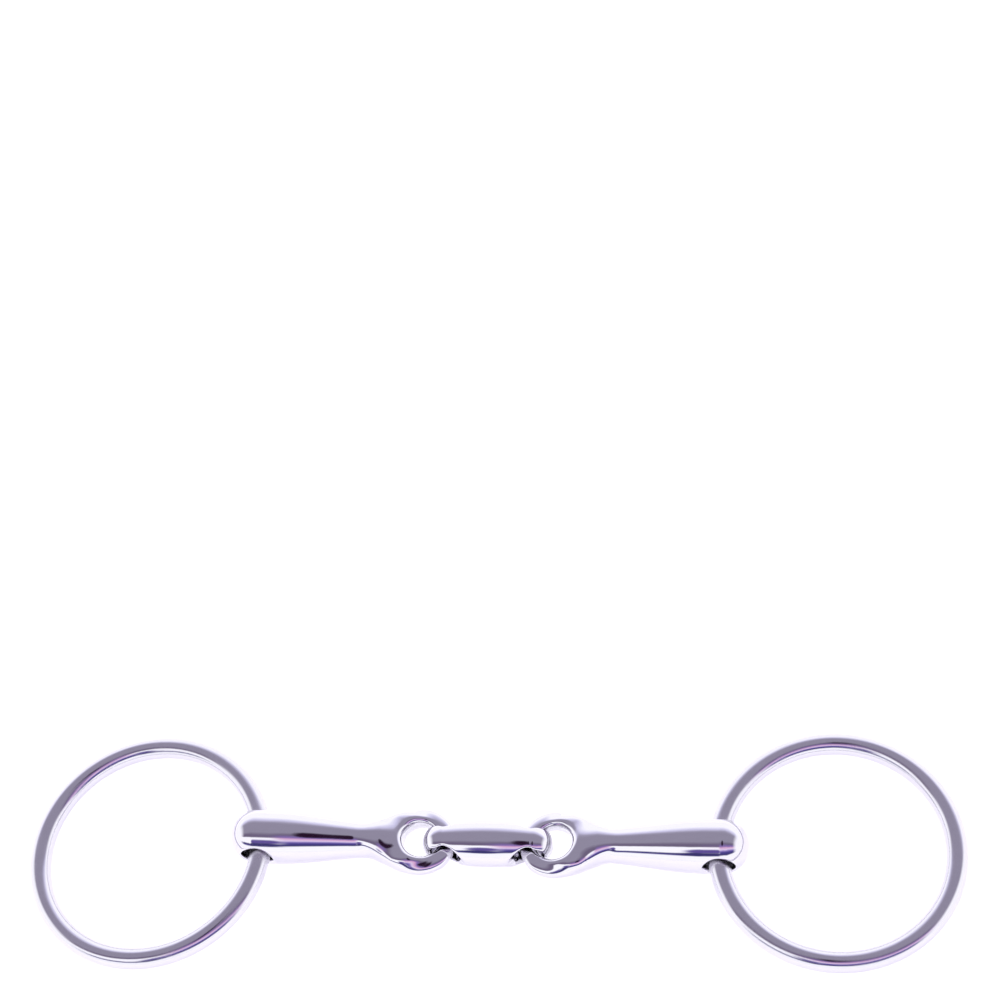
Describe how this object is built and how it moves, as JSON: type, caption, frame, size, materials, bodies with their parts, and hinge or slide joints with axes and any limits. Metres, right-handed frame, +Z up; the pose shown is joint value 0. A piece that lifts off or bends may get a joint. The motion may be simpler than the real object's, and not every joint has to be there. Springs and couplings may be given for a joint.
{
  "type": "snaffle bit",
  "caption": "Loose-ring snaffle bit: tapered mouthpiece arms hinged on a lozenge centre link, each carrying a free-swinging round-wire ring for bridle and rein.",
  "frame": {"origin": "on the surface that the bit lies on, under the middle of its box, below the centre link", "axes": "+X along the line of the rings' centres to the right ring, +Y towards the back of the bit as it lies flat, +Z up from the surface"},
  "size_m": [0.2602, 0.07, 0.0154],
  "materials": {
    "link_steel": "mirror-polished stainless steel, cast and polished, with soft edges",
    "arm_steel": "mirror-polished stainless steel, cast and polished, with soft edges",
    "ring_steel": "polished stainless steel wire with faint rub marks where it runs in the arm"
  },
  "bodies": {
    "centre_link": {"centre_link": "link_steel"},
    "left_arm": {"left_mouthpiece_arm": "arm_steel"},
    "right_arm": {"right_mouthpiece_arm": "arm_steel"},
    "left_ring": {"left_ring": "ring_steel"},
    "right_ring": {"right_ring": "ring_steel"}
  },
  "joints": [
    {"name": "left_arm_fold", "type": "hinge", "parent": "centre_link", "child": "left_arm", "pos_m": [-0.01849, 0.00235, 0.0062], "axis": [0, 0, 1], "range_deg": [-60, 60]},
    {"name": "right_arm_fold", "type": "hinge", "parent": "centre_link", "child": "right_arm", "pos_m": [0.0183, 0.00145, 0.0062], "axis": [0, 0, 1], "range_deg": [-60, 60]},
    {"name": "left_ring_swing", "type": "hinge", "parent": "left_arm", "child": "left_ring", "pos_m": [-0.06395, 0.00346, 0.00777], "axis": [0.0244, 0.9997, 0], "range_deg": [-115, 115]},
    {"name": "right_ring_swing", "type": "hinge", "parent": "right_arm", "child": "right_ring", "pos_m": [0.06376, 0.00034, 0.00777], "axis": [0.0244, 0.9997, 0], "range_deg": [-115, 115]}
  ]
}
